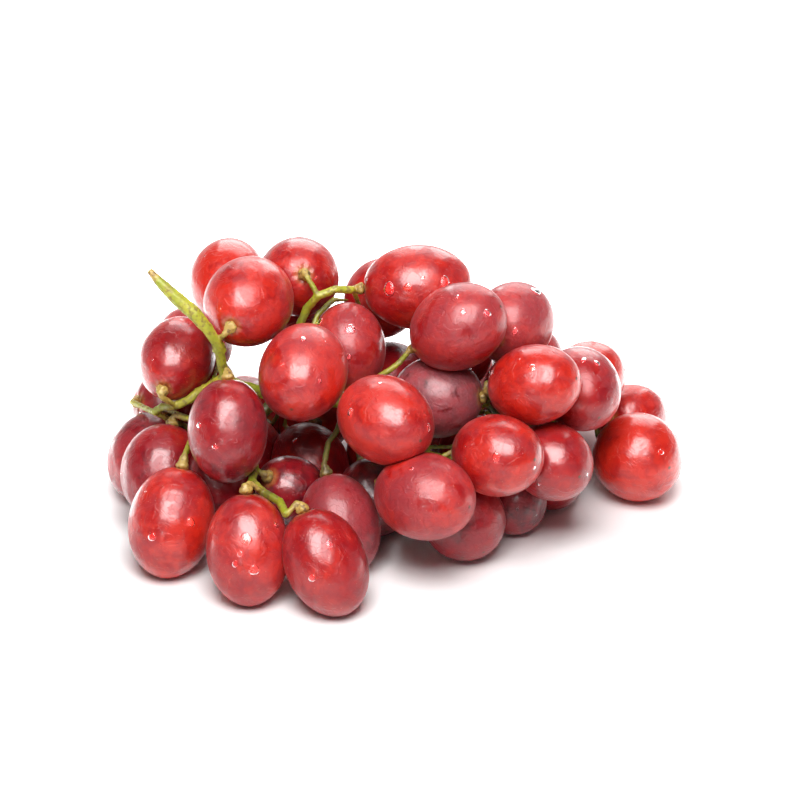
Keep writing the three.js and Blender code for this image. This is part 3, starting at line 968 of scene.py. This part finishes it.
def inner_shade(points, grapes, camera):
    """From 0 to 1, how much painted shade points get, for lying deep inside the bunch or in a gap that is
    dark in the photograph.
    """
    around = sum((np.linalg.norm(points - grape["middle"] / MM, axis=1) < INNER_REACH).astype(float)
                 for grape in grapes)
    inner = np.clip((around - INNER_GRAPES[0]) / np.ptp(INNER_GRAPES), 0, 1)
    pixels = np.array([pixel_of(camera, point) for point in points * MM])
    for x, y, reach in PAINTED_SHADE_PATCHES:
        apart = np.linalg.norm(pixels - (x, y), axis=1)
        inner = np.maximum(inner, np.clip(PAINTED_SHADE_EDGE - PAINTED_SHADE_EDGE * apart / reach, 0, 1))
    return inner


def add_stem(points, triangles, grapes, camera, material):
    """The stem, narrowed at its cut end, rough, and dry at its buttons and cut end."""
    points = points / MM
    tip = cut_end(points)
    points, faces = stem_body(points, triangles, grapes)
    warts = near_buttons(points, grapes)
    taper, on_axis = towards_cut(points, tip)
    dry = np.maximum(warts, np.clip(CUT_DRYNESS * taper, 0, 1))
    points = points + (on_axis - points) * ((1 - CUT_TIP_SHARE) * taper**CUT_TAPER_POWER)[:, None]
    points = points + normals_of(points, faces) * bark_height(points, warts)[:, None]
    stem = make_object("fine_stem", points * MM, faces, material, [
        ("dry", "FLOAT", dry),
        # Painted shade, stored on the stem's points
        ("inner", "FLOAT", inner_shade(points, grapes, camera)),
    ])
    hand_in(stem, "stem")


# Water beads

def bead(place, normal, radius, rng, start):
    """A domed drop on the skin, a little longer down the slope than across."""
    down = Vector((0, 0, -1)) + normal * normal.z
    down = down.normalized() if down.length > LEVEL_SLOPE else Vector((0, -1, 0))
    side = normal.cross(down)
    long = rng.uniform(*BEAD_LENGTHS)
    phase = rng.uniform(0, 2 * math.pi)
    points, faces = [], []
    for ring in range(1, BEAD_RINGS + 1):
        lean = math.pi * ring / (BEAD_RINGS + 1)
        height_share = BEAD_HEIGHT_SHARE if lean < math.pi / 2 else BEAD_SINK_SHARE
        rise = radius * math.cos(lean) * height_share
        for k in range(BEAD_SIDES):
            turn = 2 * math.pi * k / BEAD_SIDES
            uneven = 1 + BEAD_TWO_LOBES * math.sin(2 * turn + phase) + BEAD_THREE_LOBES * math.sin(3 * turn)
            reach = radius * math.sin(lean) * uneven
            points.append(place + side * (math.cos(turn) * reach) + down * (math.sin(turn) * reach * long)
                          + normal * rise)
    points.append(place + normal * radius * BEAD_HEIGHT_SHARE)
    points.append(place - normal * radius * BEAD_SINK_SHARE)
    top = start + BEAD_RINGS * BEAD_SIDES
    last = top - BEAD_SIDES
    for k in range(BEAD_SIDES):
        after = (k + 1) % BEAD_SIDES
        faces.append((top, start + k, start + after))
        faces.append((top + 1, last + after, last + k))
        for ring in range(BEAD_RINGS - 1):
            low = start + ring * BEAD_SIDES
            faces.append((low + k, low + BEAD_SIDES + k, low + BEAD_SIDES + after, low + after))
    return points, faces


def bead_places(camera, skins, grapes, rng):
    """Where beads sit: those that the photograph shows, then some at random all over."""
    places = []
    turn = camera.matrix_world.to_3x3()
    for x, y, size in BEADS:
        ray = turn @ Vector(((x - IMAGE_SIDE / 2) / FOCAL_PIXELS, (IMAGE_SIDE / 2 - y) / FOCAL_PIXELS, -1))
        place, normal, _, away = skins.ray_cast(camera.location, ray.normalized())
        if place is not None:
            places.append((place, normal, size * away / FOCAL_PIXELS))
    while len(places) < len(BEADS) + RANDOM_BEADS:
        grape = grapes[rng.integers(len(grapes))]
        facing = Vector(unit(rng.normal(size=3)))
        radius = RANDOM_BEAD_RADII[0] + np.ptp(RANDOM_BEAD_RADII) * rng.random()**3
        if facing.z < RANDOM_BEAD_LOWEST_FACING:
            continue
        start = Vector(grape["middle"])
        place, normal, _, _ = skins.ray_cast(start + facing * 2 * grape["half"], -facing)
        if place is not None and (place - start).length < grape["half"] * OUTMOST_BEAD_SHARE:
            places.append((place, normal, radius * MM))
    return places


def add_beads(camera, skins, grapes, material):
    rng = np.random.default_rng(SEED + 1)
    points, faces = [], []
    for place, normal, radius in bead_places(camera, skins, grapes, rng):
        more_points, more_faces = bead(place, normal, radius, rng, len(points))
        points.extend(more_points)
        faces.extend(more_faces)
    beads = make_object("water_beads", points, faces, material)
    hand_in(beads, None)


def main():
    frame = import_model()
    camera = add_camera()
    bpy.context.view_layer.update()
    add_lights()
    set_world()
    add_floor()
    nodes = frame["nodes"]
    stem_points, stem_triangles = welded(nodes["stem"])
    grapes = find_grapes(nodes, stem_points)
    dress_grapes(grapes, camera)
    skins = add_grapes(grapes, skin_material())
    add_stem(stem_points, stem_triangles, grapes, camera, stem_material())
    add_beads(camera, skins, grapes, water_material())


main()
